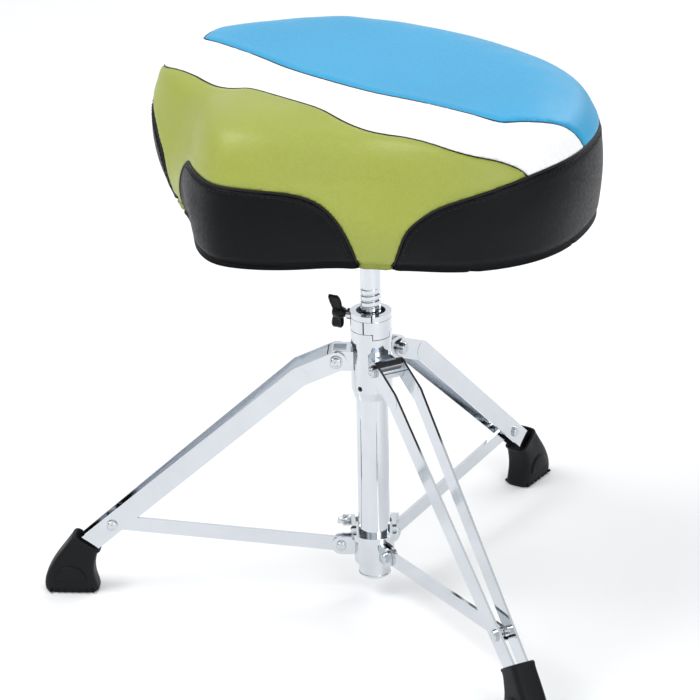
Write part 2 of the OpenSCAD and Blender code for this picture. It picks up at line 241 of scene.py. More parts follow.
def bevel(piece, width):
    """Rounds a piece's sharp edges."""
    modifier = piece.modifiers.new("bevel", "BEVEL")
    modifier.width = width
    modifier.segments = 3
    modifier.limit_method = "ANGLE"
    modifier.angle_limit = math.radians(32.0)
    modifier.harden_normals = False


def outward(piece):
    """Turns the faces of a closed mesh outward."""
    grid = bmesh.new()
    grid.from_mesh(piece.data)
    bmesh.ops.recalc_face_normals(grid, faces=grid.faces)
    grid.to_mesh(piece.data)
    grid.free()


def tube_mesh(path, radius, sides):
    """Points and faces of a round cord swept along an open path."""
    count = len(path)
    points = []
    faces = []
    previous = None
    for index, centre in enumerate(path):
        ahead = path[min(index + 1, count - 1)]
        behind = path[max(index - 1, 0)]
        tangent = (ahead - behind).normalized()
        if previous is None:
            previous = tangent.orthogonal().normalized()
        side = (previous - tangent * previous.dot(tangent)).normalized()
        other = tangent.cross(side)
        previous = side
        for k in range(sides):
            turn = 2 * math.pi * k / sides
            points.append(centre + side * (radius * math.cos(turn)) + other * (radius * math.sin(turn)))
    for index in range(count - 1):
        here = index * sides
        there = here + sides
        for k in range(sides):
            nxt = (k + 1) % sides
            faces.append((here + k, here + nxt, there + nxt, there + k))
    faces.append(tuple(reversed(range(sides))))
    faces.append(tuple(range((count - 1) * sides, count * sides)))
    return points, faces


def axes_at(joint_name):
    """Pivot point and unit axis of a joint, at rest."""
    joint = JOINTS[joint_name]
    return Vector(joint.get("pos_m", (0, 0, 0))), Vector(joint["axis"]).normalized()


# ------------------------------------------------------------------ the saddle

CUSHION_LOW, CUSHION_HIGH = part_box("seat_cushion")
SEAT_LOW = CUSHION_LOW[2]
SEAT_TOP = CUSHION_HIGH[2]
TURNS = 400
LIP = 15 * MM
NOSE_DROP = 4 * MM
LIP_LIFT = 0.8 * MM
WALL_BULGE = 2 * MM
EDGE_TUCK = 2.5 * MM
SCOOP_TUCK = 2 * MM
BOTTOM_TUCK = 5 * MM
CROWN_LIFT = 3 * MM
# cloth simulation: voxel size, height that is held, frames, furthest move, and rounds of smoothing
VOXEL = 6 * MM
PINNED = 8 * MM
SIM_FRAMES = 14
PUFF_CAP = 4 * MM
SETTLE_ROUNDS = 24
NOTCH_MIDDLE = 44.5
# sewn pieces of the cover: which cells each holds, and its material
COVER = {
    "cover_green_front": ("green", "vinyl_green"),
    "cover_white_stripe": ("white", "vinyl_white"),
    "cover_blue_back": ("blue", "vinyl_blue"),
    "panel_nose": ("nose", "vinyl_black"),
    "panel_left": ("left", "vinyl_black"),
    "panel_right": ("right", "vinyl_black"),
}
# tables against the angle from the nose in degrees, the same on both sides, in millimetres:
# distance of the upper and lower edges from the post, height of the upper edge above the lower,
# and height of the seam on top of the black panels, which is below 0 where there is no panel
UPPER_EDGE = ((0, 198), (10, 189), (20, 176), (30, 167), (40, 167), (48, 174), (57, 193), (67, 211),
              (78, 223), (90, 227), (105, 220), (126, 208), (145, 190), (162, 176), (180, 172))
LOWER_EDGE = ((0, 197), (10, 188), (20, 174), (30, 166), (40, 168), (48, 173), (57, 183), (67, 199),
              (78, 210), (90, 215), (105, 212), (126, 205), (145, 185), (162, 171), (180, 167))
EDGE_RISE = ((0, 72), (14, 72), (28, 74), (40, 77), (52, 79), (62, 82), (75, 86), (92, 90),
             (112, 89), (130, 87), (180, 84))
PANEL_RISE = ((0, 68), (16, 67), (24, 63), (30, 54), (34, 41), (37, 24), (39, 7), (41, -9), (48, -9),
              (50, 8), (52, 34), (56, 51), (61, 63), (71, 75), (82, 84), (92, 87), (112, 86),
              (130, 83), (180, 80))
# tables of the stripe's two seams: distance from the middle, place towards the back, millimetres
STRIPE_FRONT = ((0, -106), (50, -104), (85, -100), (120, -92), (165, -83), (186, -72), (204, -54), (217, -37),
                (224, -29), (240, -22))
STRIPE_BACK = ((0, -49), (50, -47), (100, -39), (150, -33), (180, -27), (188, -13), (197, 3),
               (207, 26), (213, 41), (220, 47), (240, 50))


def smoothstep(value, low, high):
    """0 below low, 1 above high, and a smooth rise between."""
    t = min(1.0, max(0.0, (value - low) / (high - low)))
    return t * t * (3 - 2 * t)


def fold_angle(turn):
    """Degrees from the nose, the same on both sides."""
    degrees = math.degrees(turn) % 360
    return 360 - degrees if degrees > 180 else degrees


def along(table, place):
    """Value of a table at a place, by a cubic through its rows, in metres."""
    last = len(table) - 1
    k = next((n for n in range(last) if place <= table[n + 1][0] + 1e-9), None)
    if k is None:
        return table[last][1] * MM

    def slope(n):
        if n in (0, last):
            return 0.0
        (a0, r0), (a1, r1) = table[n - 1], table[n + 1]
        return (r1 - r0) / (a1 - a0)

    (a0, r0), (a1, r1) = table[k], table[k + 1]
    span = a1 - a0
    t = (place - a0) / span
    value = (2 * t**3 - 3 * t**2 + 1) * r0 + (t**3 - 2 * t**2 + t) * span * slope(k)
    value += (3 * t**2 - 2 * t**3) * r1 + (t**3 - t**2) * span * slope(k + 1)
    return value * MM


def smoothed_outline(table):
    """A table read at every turn of the grid, with its kinks worn off."""
    raw = [along(table, fold_angle(2 * math.pi * n / TURNS)) for n in range(TURNS)]
    for _ in range(12):
        raw = [(raw[n - 1] + 2 * raw[n] + raw[(n + 1) % TURNS]) / 4 for n in range(TURNS)]
    return raw


UPPER_REACH = smoothed_outline(UPPER_EDGE)
LOWER_REACH = smoothed_outline(LOWER_EDGE)
UPPER_RISE = smoothed_outline(EDGE_RISE)


def thigh(turn):
    """1 in the middle of each thigh notch, falling to 0 beside it."""
    middle, width = 45.0, 17.0
    off = (fold_angle(turn) - middle) / width
    return math.exp(-off * off)


def wall_reach(upper, lower, scoop, t):
    """Distance of the side wall from the post; t runs from 0 at the lower edge to 1 at the upper."""
    start, stop = -0.25, 0.85
    reach = lower + (upper - lower) * smoothstep(t, start, stop)
    reach += (lower - upper) * smoothstep(0.0, start, stop) * (1 - t) ** 3
    reach += WALL_BULGE * math.sin(math.pi * t) ** 0.8
    reach -= EDGE_TUCK * t**4 + SCOOP_TUCK * scoop * t**3
    return reach - BOTTOM_TUCK * (1 - smoothstep(t, 0.0, 0.12))


def seat_point(n, row):
    """Point of the saddle's skin. Rows run from 0, under the lip, by 1, the lower edge,
    and 2, the upper edge seam, to 3, the crown."""
    turn = 2 * math.pi * n / TURNS
    upper, lower = UPPER_REACH[n], LOWER_REACH[n]
    scoop = thigh(turn)
    nose = 1 - smoothstep(fold_angle(turn), 16, 44)
    edge = SEAT_LOW + UPPER_RISE[n]
    low = SEAT_LOW - NOSE_DROP * nose
    if row <= 1:
        reach = lower - LIP * (1 - row)
        z = low + (SEAT_LOW + LIP_LIFT - low) * (1 - row)
    elif row <= 2:
        t = row - 1
        reach = wall_reach(upper, lower, scoop, t)
        z = low + (edge - low) * t
    else:
        rho = 3 - row
        reach = (upper - EDGE_TUCK - SCOOP_TUCK * scoop) * rho
        shape = 0.05 * rho**2 + 0.07 * rho**8 + 0.88 * rho**22
        shape += scoop * 0.2 * smoothstep(rho, 0.62, 1.0) * (1 - rho**8)
        z = edge + (SEAT_TOP + CROWN_LIFT - edge) * (1 - shape)
    return Vector((math.sin(turn) * reach, -math.cos(turn) * reach, z))


def seat_rows():
    """Rows of the grid, closer together where the saddle bends sharply."""
    under = [n / 4 for n in range(4)]
    wall = [1 + n / 26 for n in range(26)]
    top = [2 + (n / 60) ** 1.5 * 0.985 for n in range(61)]
    return under + wall + top


def seat_grid(rows):
    """Points of the saddle, one ring for each row."""
    return [[seat_point(n, row) for n in range(TURNS)] for row in rows]


def grid_faces(row_count):
    """Four-sided faces between neighbouring rings."""
    faces = []
    for r in range(row_count - 1):
        for n in range(TURNS):
            m = (n + 1) % TURNS
            faces.append((r * TURNS + n, r * TURNS + m, (r + 1) * TURNS + m, (r + 1) * TURNS + n))
    return faces


def foam_block(grid):
    """The saddle as one closed mesh of even voxels, ready to be puffed."""
    points = [p for ring in grid for p in ring]
    faces = grid_faces(len(grid))
    faces.append(tuple(reversed(range(TURNS))))
    faces.append(tuple(range((len(grid) - 1) * TURNS, len(grid) * TURNS)))
    shell = mesh_object("saddle_foam", points, faces)
    remesh = shell.modifiers.new("remesh", "REMESH")
    remesh.mode = "VOXEL"
    remesh.voxel_size = VOXEL
    bpy.context.view_layer.objects.active = shell
    bpy.ops.object.modifier_apply(modifier="remesh")
    return shell


def add_cloth(shell):
    """Cloth under pressure, without weight, held along its lower edge by the group of pins."""
    cloth_mod = shell.modifiers.new("puff", "CLOTH")
    settings = cloth_mod.settings
    settings.quality = 6
    settings.mass = 0.3
    settings.tension_stiffness = 25
    settings.compression_stiffness = 25
    settings.bending_stiffness = 4
    settings.use_pressure = True
    settings.uniform_pressure_force = 4.0
    settings.vertex_group_mass = "pins"
    settings.effector_weights.gravity = 0.0
    cloth_mod.collision_settings.use_collision = False


def puffed_skin(grid):
    shell = foam_block(grid)
    places = [v.co.copy() for v in shell.data.vertices]
    pins = shell.vertex_groups.new(name="pins")
    for index, co in enumerate(places):
        if co.z < SEAT_LOW + PINNED:
            pins.add([index], 1.0, "REPLACE")
    add_cloth(shell)
    scene = bpy.context.scene
    for number in range(1, SIM_FRAMES + 1):
        scene.frame_set(number)
    solved = shell.evaluated_get(bpy.context.evaluated_depsgraph_get()).data
    for index, vertex in enumerate(solved.vertices):
        move = vertex.co - places[index]
        if move.length > PUFF_CAP:
            move *= PUFF_CAP / move.length
        places[index] = places[index] + move
    shell.modifiers.clear()
    scene.frame_set(1)
    tree = BVHTree.FromPolygons(places, [tuple(p.vertices) for p in shell.data.polygons])
    bpy.data.objects.remove(shell)
    return tree


def grid_normals(grid):
    """Outward directions at the points of the grid."""
    rows = len(grid)
    normals = []
    for r in range(rows):
        ring = []
        for n in range(TURNS):
            along = grid[r][(n + 1) % TURNS] - grid[r][n - 1]
            up = grid[min(r + 1, rows - 1)][n] - grid[max(r - 1, 0)][n]
            ring.append(along.cross(up).normalized())
        normals.append(ring)
    return normals


def shift_to(tree, point, normal):
    """How far a point moves along its normal to reach the puffed skin, within limits."""
    inward, reach, lowest, highest = 8 * MM, 24 * MM, -2 * MM, 5 * MM
    hit = tree.ray_cast(point - normal * inward, normal, reach)[0]
    shift = (hit - point).dot(normal) if hit is not None else 0.0
    return max(lowest, min(highest, shift))


def spread(shifts):
    """Each shift replaced by the mean of its four neighbours."""
    last = len(shifts) - 1
    return [
        [
            (shifts[max(r - 1, 0)][n] + shifts[min(r + 1, last)][n]
             + shifts[r][n - 1] + shifts[r][(n + 1) % TURNS]) / 4
            for n in range(TURNS)
        ]
        for r in range(len(shifts))
    ]


def settle(grid, tree):
    """Moves the grid onto the puffed skin, keeping its rows and columns."""
    if tree is None:
        return grid
    normals = grid_normals(grid)
    shifts = [[shift_to(tree, *pair) for pair in zip(*rings)] for rings in zip(grid, normals)]
    for _ in range(SETTLE_ROUNDS):
        shifts = spread(shifts)
    return [
        [point + normals[r][n] * shifts[r][n] for n, point in enumerate(ring)]
        for r, ring in enumerate(grid)
    ]


# seams of the cover, as functions that are above 0 on one side


def panel_side(p):
    """Above 0 on the black side panels."""
    angle = fold_angle(math.atan2(p.x, -p.y))
    return SEAT_LOW + along(PANEL_RISE, angle) - p.z


def front_line(p):
    """Above 0 behind the seam between the green front and the white stripe."""
    return p.y - along(STRIPE_FRONT, abs(p.x) / MM)


def back_line(p):
    """Above 0 behind the seam between the white stripe and the blue back."""
    return p.y - along(STRIPE_BACK, abs(p.x) / MM)


def snap_seam(grid, side):
    """Moves grid points onto a seam wherever the seam crosses an edge, and returns each point's side."""
    rows = len(grid)
    value = [[side(p) for p in ring] for ring in grid]

    def cross(a, b):
        va, vb = value[a[0]][a[1]], value[b[0]][b[1]]
        if va * vb >= 0:
            return
        t = va / (va - vb)
        spot = grid[a[0]][a[1]].lerp(grid[b[0]][b[1]], t)
        near = a if t < 0.5 else b
        grid[near[0]][near[1]] = spot
        value[near[0]][near[1]] = 0.0

    for r in range(rows):
        for n in range(TURNS):
            cross((r, n), (r, (n + 1) % TURNS))
            if r + 1 < rows:
                cross((r, n), (r + 1, n))
    return value


def sign_of_face(corners, value):
    """True if a cell lies on the side of a seam where its function is above 0."""
    total = sum(value[r][n] for r, n in corners)
    return total > 0


def split_cells(grid, values):
    """Cells of the grid as triangles or quads, none of which lies on two sides of a seam."""
    cells = []
    for r in range(len(grid) - 1):
        for n in range(TURNS):
            m = (n + 1) % TURNS
            quad = ((r, n), (r, m), (r + 1, m), (r + 1, n))
            cut = None
            for value in values:
                signs = [value[a][b] for a, b in quad]
                if max(signs) > 0 > min(signs):
                    cut = 0 if signs[0] == 0 and signs[2] == 0 else 1
            if cut is None:
                cells.append(quad)
            elif cut == 0:
                cells.append((quad[0], quad[1], quad[2]))
                cells.append((quad[0], quad[2], quad[3]))
            else:
                cells.append((quad[1], quad[2], quad[3]))
                cells.append((quad[1], quad[3], quad[0]))
    return cells


def seam_groove(grid, gaps):
    """Pulls the skin in at the seams and lifts it a little beside them."""
    depth, width = 1.3 * MM, 2.2 * MM
    rise, rise_at, rise_width = 0.5 * MM, 7 * MM, 4.5 * MM
    normals = grid_normals(grid)
    out = []
    for ring, normal_ring, gap_ring in zip(grid, normals, gaps):
        new_ring = []
        for point, normal, gap in zip(ring, normal_ring, gap_ring):
            pull = -depth * math.exp(-((gap / width) ** 2))
            lift = rise * math.exp(-(((gap - rise_at) / rise_width) ** 2))
            new_ring.append(point + normal * (pull + lift))
        out.append(new_ring)
    return out


def seam_paths(cells, kinds, first, second):
    """Chains of grid corners that run between cells of two kinds."""
    edges = {}
    for cell, kind in zip(cells, kinds):
        for k in range(len(cell)):
            edge = frozenset((cell[k], cell[(k + 1) % len(cell)]))
            edges.setdefault(edge, set()).add(kind)
    joined = {}
    for edge, around in edges.items():
        if around & first and around & second:
            a, b = tuple(edge)
            joined.setdefault(a, []).append(b)
            joined.setdefault(b, []).append(a)
    chains = []
    while joined:
        ends = [c for c in sorted(joined) if len(joined[c]) == 1]
        start = ends[0] if ends else min(joined)
        chain = [start]
        while joined.get(chain[-1]):
            here = chain[-1]
            there = joined[here].pop(0)
            joined[there].remove(here)
            chain.append(there)
            for c in (here, there):
                if c in joined and not joined[c]:
                    del joined[c]
        chains.append(chain)
    return [c for c in chains if len(c) > 6]


def even_path(points, step, rounds=6):
    """A smoothed path through points with one point every step."""
    closed = (points[0] - points[-1]).length < 1e-7
    for _ in range(rounds):
        points = [
            points[k] if k in (0, len(points) - 1) and not closed
            else (points[k - 1] + points[k] * 2 + points[(k + 1) % len(points)]) / 4
            for k in range(len(points))
        ]
    path = [points[0]]
    left = step
    for a, b in zip(points, points[1:]):
        length = (b - a).length
        while length >= left > 0:
            a = a.lerp(b, left / length)
            path.append(a)
            length = (b - a).length
            left = step
        left -= length
    return path


def piece_of_cell(base, cell, values):
    """Which sewn piece of the cover a cell belongs to."""
    panel, front, back = (sign_of_face(cell, value) for value in values)
    if panel:
        middle = sum((base[r][n] for r, n in cell), Vector()) / len(cell)
        if fold_angle(math.atan2(middle.x, -middle.y)) < NOTCH_MIDDLE:
            return "nose"
        return "right" if middle.x > 0 else "left"
    if back:
        return "blue"
    return "white" if front else "green"


def seam_gaps(base, seams):
    """Distance of every grid point from the nearest seam."""
    corners = [c for chains in seams.values() for chain in chains for c in chain]
    finder = KDTree(len(corners))
    for k, (r, n) in enumerate(corners):
        finder.insert(base[r][n], k)
    finder.balance()
    return [[finder.find(point)[2] for point in ring] for ring in base]


def build_saddle():
    """The cover in its sewn pieces, with seams, piping and stitches."""
    base = seat_grid(seat_rows())
    base = settle(base, puffed_skin(base))
    values = [snap_seam(base, side) for side in (panel_side, front_line, back_line)]
    cells = split_cells(base, values)
    kinds = [piece_of_cell(base, cell, values) for cell in cells]
    tops = {"green", "white", "blue"}
    sides = {"nose", "left", "right"}
    seams = {
        "panel": seam_paths(cells, kinds, sides, tops),
        "front": seam_paths(cells, kinds, {"green"}, {"white"}),
        "back": seam_paths(cells, kinds, {"white"}, {"blue"}),
        "side": seam_paths(cells, kinds, {"left"}, {"right"}),
    }
    skin = seam_groove(base, seam_gaps(base, seams))
    pieces = [skin_piece(name, skin, cells, kinds, *look) for name, look in COVER.items()]
    return pieces + seam_pieces(skin, seams)


def skin_piece(name, skin, cells, kinds, wanted, slot_name):
    """One sewn piece of the cover, as thick as its vinyl."""
    index = {}
    points = []
    faces = []
    last_row = len(skin) - 1
    for cell, kind in zip(cells, kinds):
        if kind != wanted:
            continue
        for corner in cell:
            if corner not in index:
                index[corner] = len(points)
                points.append(skin[corner[0]][corner[1]])
        faces.append(tuple(index[corner] for corner in cell))
    if all((last_row, n) in index for n in range(TURNS)):
        centre = len(points)
        points.append(sum(skin[last_row], Vector()) / TURNS)
        for n in range(TURNS):
            faces.append((index[(last_row, n)], index[(last_row, (n + 1) % TURNS)], centre))
    piece = mesh_object(name, points, faces)
    outward_skin(piece)
    thick = piece.modifiers.new("thickness", "SOLIDIFY")
    thick.thickness = 1.2 * MM
    thick.offset = -1.0
    finish_piece(piece, "seat", slot_name)
    return piece


def outward_skin(piece):
    """Turns an open piece of the cover so that its faces look away from the saddle's middle."""
    centre = Vector((0, 0, (SEAT_LOW + SEAT_TOP) / 2))
    mesh = piece.data
    score = sum((p.center - centre).dot(p.normal) * p.area for p in mesh.polygons)
    if score < 0:
        mesh.flip_normals()


def seam_pieces(skin, seams):
    """Piping along the panels with stitches below it, and sunk seam cords between the colours."""
    pieces = []
    normals = grid_normals(skin)

    def lifted(chain, lift):
        return [skin[r][n] + normals[r][n] * lift for r, n in chain]

    for label, radius, lift in (("panel", 1.25, 0.6), ("front", 0.75, 0.1), ("back", 0.75, 0.1)):
        for k, chain in enumerate(seams[label]):
            path = even_path(lifted(chain, lift * MM), 3 * MM)
            points, faces = tube_mesh(path, radius * MM, 8)
            piece = mesh_object(f"seam_{label}_{k}", points, faces)
            outward(piece)
            pieces.append(finish_piece(piece, "seat", "piping"))
    for k, chain in enumerate(seams["panel"]):
        path = even_path(lifted(chain, 0.0), 1 * MM)
        pieces.append(stitch_row(f"stitches_{k}", path, skin))
    return pieces


def stitch_row(name, path, skin):
    """Short thread stitches on the panels, a little below their upper seam."""
    flat = [p for ring in skin for p in ring]
    tree = BVHTree.FromPolygons(flat, grid_faces(len(skin)))
    pitch, length, drop = 5, 3.6, 5.0 * MM
    points = []
    faces = []
    for start in range(6, len(path) - 8, pitch):
        tangent = (path[start + 3] - path[start]).normalized()
        hit, normal, _, _ = tree.find_nearest(path[start])
        if normal.dot(Vector((hit.x, hit.y, 0))) < 0:
            normal = -normal
        down = tangent.cross(normal).normalized()
        if panel_side(path[start] + down * drop) < 0:
            down = -down
        ends = []
        for k in range(5):
            along = (k / 4 - 0.5) * length * MM
            spot, away, _, _ = tree.find_nearest(path[start] + down * drop + tangent * along)
            if away.dot(Vector((spot.x, spot.y, 0))) < 0:
                away = -away
            bow = 0.45 * math.sin(math.pi * k / 4) - 0.1
            ends.append(spot + away * bow * MM)
        more, quads = tube_mesh(ends, 0.38 * MM, 6)
        shift = len(points)
        points += more
        faces += [tuple(v + shift for v in quad) for quad in quads]
    piece = mesh_object(name, points, faces)
    return finish_piece(piece, "seat", "piping")


saddle = build_saddle()
for saddle_piece in saddle:
    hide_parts("seat_cushion")

# ------------------------------------------------------------------ the spindle


def build_spindle():
    """The threaded spindle: plain shank above, one helical groove below."""
    low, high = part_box("seat_spindle")
    crest = (high[0] - low[0]) / 2
    pitch, depth = 6 * MM, 1.15 * MM
    thread_top = low[2] + 203 * MM
    sides, step = 64, 0.3 * MM
    turns = [2 * math.pi * n / sides for n in range(sides)]
    count = int((high[2] - low[2] - 2 * MM) / step)
    points = []
    faces = []
    for k in range(count + 1):
        z = low[2] + 1 * MM + k * step
        for n, turn in enumerate(turns):
            phase = ((z - low[2]) / pitch - n / sides) % 1.0
            groove = smoothstep(phase, 0.60, 0.72) * (1 - smoothstep(phase, 0.86, 0.98))
            fade = smoothstep(thread_top - z, 0.0, 4 * MM) * smoothstep(z - low[2], 8 * MM, 12 * MM)
            radius = crest - depth * groove * fade
            points.append(Vector((radius * math.cos(turn), radius * math.sin(turn), z)))
    for k in range(count):
        for n in range(sides):
            m = (n + 1) % sides
            faces.append((k * sides + n, k * sides + m, (k + 1) * sides + m, (k + 1) * sides + n))
    for z, ring in ((low[2], 0), (high[2], count)):
        start = len(points)
        points += [Vector((0.9 * crest * math.cos(t), 0.9 * crest * math.sin(t), z)) for t in turns]
        for n in range(sides):
            m = (n + 1) % sides
            faces.append((ring * sides + n, ring * sides + m, start + m, start + n))
        faces.append(tuple(start + n for n in range(sides)))
    piece = mesh_object("spindle_thread", points, faces)
    outward(piece)
    finish_piece(piece, "spindle", "chrome_tube")
    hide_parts("seat_spindle")


build_spindle()

# ------------------------------------------------------------------ feet


def loft(rings):
    """Points and faces through rings that have the same number of points, closed at both ends."""
    sides = len(rings[0])
    points = [p for ring in rings for p in ring]
    faces = []
    for k in range(len(rings) - 1):
        for n in range(sides):
            m = (n + 1) % sides
            faces.append((k * sides + n, k * sides + m, (k + 1) * sides + m, (k + 1) * sides + n))
    faces.append(tuple(reversed(range(sides))))
    faces.append(tuple(range((len(rings) - 1) * sides, len(rings) * sides)))
    return points, faces


def leg_frame(name):
    """Matrix from a leg's own plane (X outward, Z up) to the row frame."""
    pivot, _ = axes_at(f"leg_{name}_fold")
    return Matrix.Rotation(math.atan2(pivot.y, pivot.x), 4, "Z")


# sections of a boot from its mouth to its sole, in a leg's own plane and in millimetres:
# inner corner, outer corner and half width
BOOT_SECTIONS = (
    ((262, 41), (286, 57), 11.8),
    ((265, 33), (297, 43), 12.4),
    ((267, 24), (307, 30), 12.9),
    ((266, 14), (313, 18), 13.3),
    ((263.5, 7), (315.5, 9), 13.5),
    ((262.5, 1.2), (314, 1.2), 13.3),
)
BOOT_MIDDLE = 289
BOOT_SIDES = 32


def squared(value, power):
    """A sine or cosine pushed towards its ends, which turns an ellipse into a rounded box."""
    return math.copysign(abs(value) ** power, value)


def boot_ring(inner, outer, half):
    """Rounded box section of a boot."""
    ring = []
    for n in range(BOOT_SIDES):
        turn = 2 * math.pi * n / BOOT_SIDES
        t = 0.5 + 0.5 * squared(math.cos(turn), 0.42)
        wide = half * squared(math.sin(turn), 0.42)
        x = inner[0] + (outer[0] - inner[0]) * t
        ring.append(Vector((x, wide, inner[1] + (outer[1] - inner[1]) * t)) * MM)
    return ring


def build_boot(name):
    """Moulded rubber foot: a sock round the strips that widens into a flat tread."""
    rings = [boot_ring(*section) for section in BOOT_SECTIONS]
    lip = rings[0]
    centre = sum(lip, Vector()) / BOOT_SIDES
    up = Vector((-0.756, 0, 0.655)) * MM

    def mouth_ring(grow, rise):
        return [centre + (p - centre) * grow + up * rise for p in lip]

    mouth = [mouth_ring(*row) for row in ((0.84, -4), (0.86, 3.4), (1.05, 3.0), (1.06, 0.2), (1.0, -1.2))]
    sole = [Vector((p.x * 0.97 + BOOT_MIDDLE * MM * 0.03, p.y * 0.94, 0.0)) for p in rings[-1]]
    points, faces = loft(mouth + rings[1:] + [sole])
    piece = mesh_object(f"boot_{name}", points, faces)
    piece.data.transform(leg_frame(name))
    outward(piece)
    smooth = piece.modifiers.new("smooth", "SUBSURF")
    smooth.levels = 1
    smooth.render_levels = 1
    finish_piece(piece, f"leg_{name}", "boot_rubber")
    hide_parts(f"leg_{name}_boot")
    for side in (-1, 1):
        emboss(name, side)
    treads(name)


def emboss(name, side):
    """Raised half-disc on the flank of a foot."""
    radius, middle_z, flank, sides = 15, 13, 13.2, 24
    rings = []
    for grow, lift in ((1.0, -0.8), (1.0, 0.5), (0.86, 0.9), (0.3, 0.95)):
        ring = []
        for n in range(sides):
            turn = math.pi * n / (sides - 1)
            x = BOOT_MIDDLE + radius * grow * math.cos(turn)
            z = middle_z + radius * grow * math.sin(turn)
            ring.append(Vector((x, side * (flank + lift), z)) * MM)
        rings.append(ring)
    points, faces = loft(rings)
    piece = mesh_object(f"boot_{name}_badge_{'a' if side > 0 else 'b'}", points, faces)
    piece.data.transform(leg_frame(name))
    outward(piece)
    finish_piece(piece, f"leg_{name}", "boot_rubber")


def treads(name):
    """Grip ribs across the tread, just proud of the flanks' lower edge."""
    ribs, first_x, pitch, radius = 7, 268, 6.8, 1.5
    low, turned_up, flank = 1.7, 3.2, 13
    points = []
    faces = []
    for k in range(ribs):
        x = first_x + pitch * k
        path = [
            Vector((x, y, low if abs(y) < flank else turned_up)) * MM
            for y in (-13.9, -12, -6, 0, 6, 12, 13.9)
        ]
        more, quads = tube_mesh(path, radius * MM, 8)
        shift = len(points)
        points += more
        faces += [tuple(v + shift for v in quad) for quad in quads]
    piece = mesh_object(f"boot_{name}_treads", points, faces)
    piece.data.transform(leg_frame(name))
    outward(piece)
    finish_piece(piece, f"leg_{name}", "boot_rubber")


for leg in LEGS:
    build_boot(leg)

# ------------------------------------------------------------------ thumb screws and rivets


def turn_frame(origin, axis):
    """Matrix whose X runs along axis from origin, with Z as near upright as it can be."""
    x = axis.normalized()
    z = (Vector((0, 0, 1)) - x * x.z).normalized()
    y = z.cross(x)
    matrix = Matrix((x, y, z)).transposed().to_4x4()
    matrix.translation = origin
    return matrix


def lathe(profile, sides=32):
    """Points and faces of a closed turned piece about X, from (x, radius) pairs in millimetres."""
    rings = []
    turns = [2 * math.pi * n / sides for n in range(sides)]
    for x, radius in profile:
        rings.append([Vector((x, radius * math.cos(t), radius * math.sin(t))) * MM for t in turns])
    return loft(rings)


def wing_blade(root_x, length, up, fluted):
    """One thumb-screw wing: a paddle that widens outward, with flutes on its faces."""
    rings = []
    steps = 9
    for k in range(steps):
        t = k / (steps - 1)
        centre_x = root_x + 3.0 * t
        half_x = 4.3 + 1.9 * math.sin(math.pi * min(1.0, t * 1.1) * 0.7) - 1.2 * smoothstep(t, 0.85, 1.0)
        half_y = 2.7 - 0.5 * t - 0.9 * smoothstep(t, 0.88, 1.0)
        z = up * (2.0 + (length - 2.0) * t)
        ring = []
        for n in range(32):
            turn = 2 * math.pi * n / 32
            c, s = math.cos(turn), math.sin(turn)
            x = half_x * squared(c, 0.55)
            y = half_y * squared(s, 0.55)
            if fluted:
                y *= 1 - 0.34 * (0.5 + 0.5 * math.cos(4.2 * math.pi * x / half_x)) * smoothstep(t, 0.1, 0.3)
            ring.append(Vector((centre_x + x, y, z)) * MM)
        rings.append(ring)
    return loft(rings)


def build_wing_screw(node, joint_name, body, slot_name, reach, fluted, tilt):
    """A thumb screw along its joint's axis; reach holds the shank's ends, the hub's end and the wing,
    and tilt turns its wings away from upright, in degrees."""
    origin, axis = axes_at(joint_name)
    shank_from, shank_to, hub_to, wing = reach
    profile = [(shank_from, 2.2), (shank_from + 0.8, 3.0), (shank_to - 2.0, 3.0), (shank_to - 2.0, 4.6),
               (shank_to, 4.9), (shank_to + 0.6, 5.5), (hub_to - 1.2, 5.6), (hub_to, 4.4), (hub_to, 2.2),
               (hub_to - 0.7, 1.9)]
    sets = [lathe(profile)]
    middle = (shank_to + hub_to) / 2
    sets.append(wing_blade(middle, wing, 1.0, fluted))
    sets.append(wing_blade(middle, wing, -1.0, fluted))
    matrix = turn_frame(origin, axis) @ Matrix.Rotation(math.radians(tilt), 4, "X")
    for k, (points, faces) in enumerate(sets):
        piece = mesh_object(f"{node}_{('shank', 'wing_up', 'wing_down')[k]}", points, faces)
        piece.data.transform(matrix)
        outward(piece)
        finish_piece(piece, body, slot_name)
        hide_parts(node)


build_wing_screw("memory_wing_screw", "memory_screw_turn", "memory_screw", "black_wing",
                 (-4.8, 10.2, 19.2, 17.5), True, -12)
build_wing_screw("slider_wing_screw", "slider_screw_turn", "slider_screw", "chrome_fastener",
                 (-25.2, 21.1, 29.1, 14.5), False, -58)


def domed_rivet(name, origin, axis, start, height, radius, body):
    """A turned rivet head with a shallow ring struck round its crown."""
    profile = [(start - 0.3, radius * 0.9), (start, radius), (start + 0.35 * height, radius),
               (start + 0.75 * height, radius * 0.84), (start + 0.9 * height, radius * 0.62),
               (start + 0.66 * height, radius * 0.52), (start + 0.62 * height, radius * 0.4),
               (start + 0.86 * height, radius * 0.3), (start + height, radius * 0.12)]
    points, faces = lathe(profile)
    piece = mesh_object(name, points, faces)
    piece.data.transform(turn_frame(origin, axis))
    outward(piece)
    return finish_piece(piece, body, "chrome_fastener")


def rivet_heads():
    """Turned heads on both ends of the hub, foot and strut rivets."""
    for name in LEGS:
        hub, axis = axes_at(f"leg_{name}_fold")
        strut_pivot, _ = axes_at(f"strut_{name}_fold")
        low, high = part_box(f"leg_{name}_foot_rivet")
        foot = (Vector(low) + Vector(high)) / 2
        for side in (-1, 1):
            tag = "a" if side > 0 else "b"
            domed_rivet(f"hub_rivet_head_{name}_{tag}", hub, axis * side, 16.6, 1.6, 5.2, "column")
            domed_rivet(f"foot_rivet_head_{name}_{tag}", foot, axis * side, 10.2, 1.3, 4.6, f"leg_{name}")
            domed_rivet(f"strut_rivet_head_{name}_{tag}", strut_pivot, axis * side, 6.3, 1.3, 4.3, "slider")


rivet_heads()

